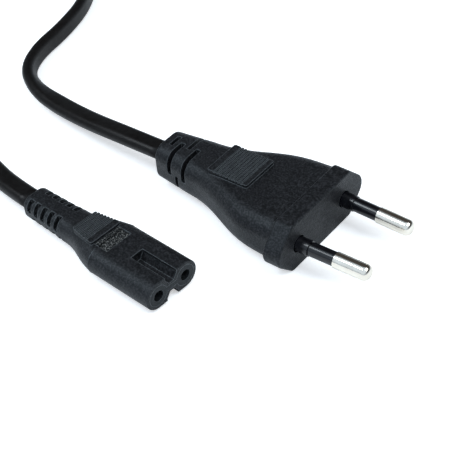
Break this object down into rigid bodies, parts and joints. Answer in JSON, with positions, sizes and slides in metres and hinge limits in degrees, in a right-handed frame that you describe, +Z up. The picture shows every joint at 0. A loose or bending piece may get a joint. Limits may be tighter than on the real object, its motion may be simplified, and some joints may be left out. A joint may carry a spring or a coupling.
{
  "type": "power cord",
  "caption": "Two-core mains lead: moulded flat two-pin plug with sleeved pins, flat cord wound in a tied coil, and a figure-eight appliance connector.",
  "frame": {"origin": "under the middle of the plug and its pins, on the surface it lies on", "axes": "+X along the plug, out along its pins; +Y to the left of the plug seen from behind; +Z up"},
  "size_m": [0.2436, 0.1147, 0.0137],
  "materials": {
    "black_pvc": "moulded, fine matt grain",
    "cord_pvc": "extruded, slight sheen",
    "sleeve_plastic": "smooth gloss",
    "insert_plastic": "moulded hard plastic",
    "nickel": "polished nickel plate",
    "carrier_plastic": "moulded hard plastic",
    "brown_insulation": "extruded",
    "blue_insulation": "extruded",
    "copper": "bright drawn copper",
    "contact_brass": "stamped",
    "tie_band": "ribbed band"
  },
  "bodies": {
    "root": {"plug_body": "black_pvc", "plug_bridge": "carrier_plastic", "plug_cord_end": "cord_pvc", "left_pin": "nickel", "right_pin": "nickel", "left_pin_sleeve": "sleeve_plastic", "right_pin_sleeve": "sleeve_plastic", "plug_brown_core": "brown_insulation", "plug_blue_core": "blue_insulation", "plug_brown_strands": "copper", "plug_blue_strands": "copper", "plug_cord": "cord_pvc", "connector_cord": "cord_pvc", "cord_coil": "cord_pvc", "coil_tie": "tie_band", "connector_body": "black_pvc", "connector_insert": "insert_plastic", "connector_cord_end": "cord_pvc", "left_contact": "contact_brass", "right_contact": "contact_brass", "connector_brown_core": "brown_insulation", "connector_blue_core": "blue_insulation", "connector_brown_strands": "copper", "connector_blue_strands": "copper"}
  },
  "joints": []
}
